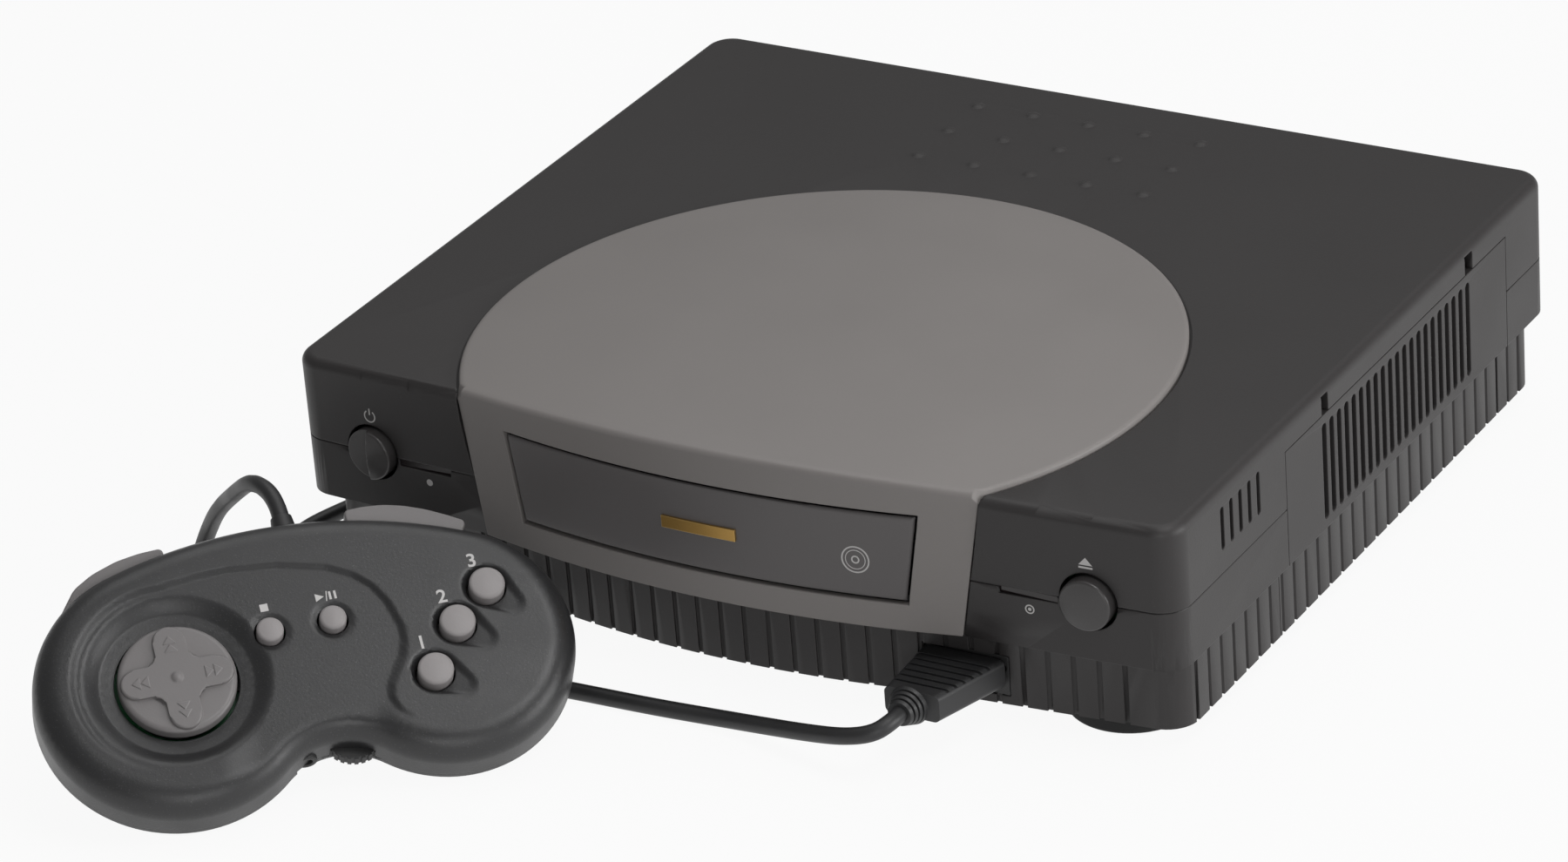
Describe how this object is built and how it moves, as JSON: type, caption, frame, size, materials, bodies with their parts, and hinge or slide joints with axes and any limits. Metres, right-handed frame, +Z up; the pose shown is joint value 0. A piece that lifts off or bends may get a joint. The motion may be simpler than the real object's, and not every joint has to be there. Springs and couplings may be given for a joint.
{
  "type": "video game console",
  "caption": "Disc game console with a motor-driven tray, round dome lid and side expansion cover, and a leaning wired gamepad on its coiled cord.",
  "frame": {"origin": "centre of the box round the console and gamepad, at the table", "axes": "+X to the console's right as its user sees it, +Y to its back, +Z up"},
  "size_m": [0.3334, 0.4264, 0.0832],
  "materials": {
    "case_black": "fine-grained moulded plastic",
    "cover_black": "fine-grained moulded plastic",
    "lid_grey": "fine-grained moulded plastic",
    "lens_smoke": "clear tinted",
    "badge_gold": "satin",
    "foot_rubber": "matt",
    "tray_black": "satin",
    "inner_plastic": "satin",
    "board_green": "solder mask",
    "steel": "plated",
    "core_iron": "varnished",
    "brass": "satin",
    "soft_rubber": "matt",
    "pad_charcoal": "fine-grained moulded plastic",
    "key_grey": "satin",
    "cord_black": "smooth sheath"
  },
  "bodies": {
    "console": {"top_cover": "case_black", "lid_disc_panel": "lid_grey", "bottom_case": "case_black", "ready_lens": "lens_smoke", "access_lens": "lens_smoke", "feet": "foot_rubber", "controller_port": "inner_plastic", "main_board": "board_green", "power_board": "board_green", "transformer": "core_iron", "front_boards": "board_green", "mains_inlet": "inner_plastic", "av_jacks": "inner_plastic", "s_video_jack": "inner_plastic", "rear_connector": "inner_plastic", "shield_plate": "steel", "expansion_socket": "inner_plastic", "drive_frame": "inner_plastic", "drive_deck": "steel", "deck_dampers": "soft_rubber", "guide_rods": "steel", "spindle_motor": "steel", "clamp_bridge": "steel", "loading_motor": "steel", "loading_belt": "soft_rubber", "screws": "steel", "cord_tail": "cord_black", "plug": "cord_black", "plug_shell": "steel"},
    "tray": {"disc_tray": "tray_black", "tray_door": "lid_grey", "badge": "badge_gold"},
    "gear": {"tray_gear": "inner_plastic"},
    "pulley": {"loading_pulley": "brass"},
    "turntable": {"turntable": "inner_plastic"},
    "puck": {"clamp_puck": "inner_plastic"},
    "sled": {"laser_sled": "core_iron"},
    "power_key": {"power_button": "lid_grey"},
    "open_key": {"open_button": "lid_grey"},
    "side_cover": {"expansion_cover": "cover_black"},
    "gamepad": {"pad_top_shell": "pad_charcoal", "pad_bottom_shell": "pad_charcoal", "headphone_jack": "brass", "pad_board": "board_green", "button_membrane": "soft_rubber", "pad_screws": "steel", "chain_port": "inner_plastic", "cord_bush": "cord_black", "cord_arch": "cord_black", "cord_coil": "cord_black"},
    "pad_pivot": {"dpad_pivot": "steel"},
    "pad_cross": {"dpad": "key_grey"},
    "stop_key": {"stop_button": "key_grey"},
    "play_key": {"play_button": "key_grey"},
    "left_trigger_key": {"left_trigger": "key_grey"},
    "right_trigger_key": {"right_trigger": "key_grey"},
    "wheel": {"volume_wheel": "tray_black"},
    "fire_key_1": {"button_1": "key_grey"},
    "fire_key_2": {"button_2": "key_grey"},
    "fire_key_3": {"button_3": "key_grey"}
  },
  "joints": [
    {"name": "tray_slide", "type": "slide", "parent": "console", "child": "tray", "axis": [0, -1, 0], "range_m": [0, 0.134]},
    {"name": "tray_gear_turn", "type": "hinge", "parent": "console", "child": "gear", "pos_m": [-0.03695, -0.03381, 0.043], "axis": [0, 0, 1], "range_deg": [0, 640]},
    {"name": "loading_pulley_turn", "type": "hinge", "parent": "console", "child": "pulley", "pos_m": [0.04705, -0.03381, 0.038], "axis": [0, 0, 1], "range_deg": [0, 2048]},
    {"name": "turntable_spin", "type": "hinge", "parent": "console", "child": "turntable", "pos_m": [0.00305, 0.01419, 0.047], "axis": [0, 0, 1], "continuous": true},
    {"name": "puck_spin", "type": "hinge", "parent": "console", "child": "puck", "pos_m": [0.00305, 0.01419, 0.06], "axis": [0, 0, 1], "continuous": true},
    {"name": "sled_slide", "type": "slide", "parent": "console", "child": "sled", "axis": [0, 1, 0], "range_m": [0, 0.034]},
    {"name": "power_press", "type": "slide", "parent": "console", "child": "power_key", "axis": [0, 1, 0], "range_m": [0, 0.003], "stiffness_N_per_m": 150},
    {"name": "open_press", "type": "slide", "parent": "console", "child": "open_key", "axis": [0, 1, 0], "range_m": [0, 0.0015], "stiffness_N_per_m": 150},
    {"name": "side_cover_slide", "type": "slide", "parent": "console", "child": "side_cover", "axis": [1, 0, 0], "range_m": [0, 0.04]},
    {"name": "gamepad_push", "type": "slide", "parent": "console", "child": "gamepad", "axis": [0, -1, 0], "range_m": [0, 0.134]},
    {"name": "dpad_rock_sideways", "type": "hinge", "parent": "gamepad", "child": "pad_pivot", "pos_m": [-0.10947, -0.1758, 0.03397], "axis": [-0.5791, 0.5751, 0.5779], "range_deg": [-5, 5], "stiffness_Nm_per_rad": 0.06},
    {"name": "dpad_rock_up_down", "type": "hinge", "parent": "pad_pivot", "child": "pad_cross", "pos_m": [-0.10947, -0.1758, 0.03397], "axis": [0.7046, 0.7096, 0], "range_deg": [-5, 5], "stiffness_Nm_per_rad": 0.06},
    {"name": "stop_press", "type": "slide", "parent": "gamepad", "child": "stop_key", "axis": [-0.41, 0.4072, -0.8161], "range_m": [0, 0.0013], "stiffness_N_per_m": 150},
    {"name": "play_press", "type": "slide", "parent": "gamepad", "child": "play_key", "axis": [-0.41, 0.4072, -0.8161], "range_m": [0, 0.0013], "stiffness_N_per_m": 150},
    {"name": "fire_1_press", "type": "slide", "parent": "gamepad", "child": "fire_key_1", "axis": [-0.41, 0.4072, -0.8161], "range_m": [0, 0.0013], "stiffness_N_per_m": 150},
    {"name": "fire_2_press", "type": "slide", "parent": "gamepad", "child": "fire_key_2", "axis": [-0.41, 0.4072, -0.8161], "range_m": [0, 0.0013], "stiffness_N_per_m": 150},
    {"name": "fire_3_press", "type": "slide", "parent": "gamepad", "child": "fire_key_3", "axis": [-0.41, 0.4072, -0.8161], "range_m": [0, 0.0013], "stiffness_N_per_m": 150},
    {"name": "left_trigger_turn", "type": "hinge", "parent": "gamepad", "child": "left_trigger_key", "pos_m": [-0.13314, -0.14947, 0.05189], "axis": [0.41, -0.4072, 0.8161], "range_deg": [0, 5], "stiffness_Nm_per_rad": 0.06},
    {"name": "right_trigger_turn", "type": "hinge", "parent": "gamepad", "child": "right_trigger_key", "pos_m": [-0.08992, -0.10572, 0.05201], "axis": [-0.41, 0.4072, -0.8161], "range_deg": [0, 5], "stiffness_Nm_per_rad": 0.06},
    {"name": "volume_turn", "type": "hinge", "parent": "gamepad", "child": "wheel", "pos_m": [-0.06716, -0.15087, 0.01437], "axis": [0.41, -0.4072, 0.8161], "range_deg": [-150, 150]}
  ],
  "couplings": [
    {"joint": "tray_gear_turn", "follows": "tray_slide", "rad_per_m": 83.333},
    {"joint": "loading_pulley_turn", "follows": "tray_slide", "rad_per_m": 266.67},
    {"joint": "gamepad_push", "follows": "tray_slide", "ratio": 1},
    {"joint": "turntable_spin", "follows": "puck_spin", "ratio": 1}
  ]
}
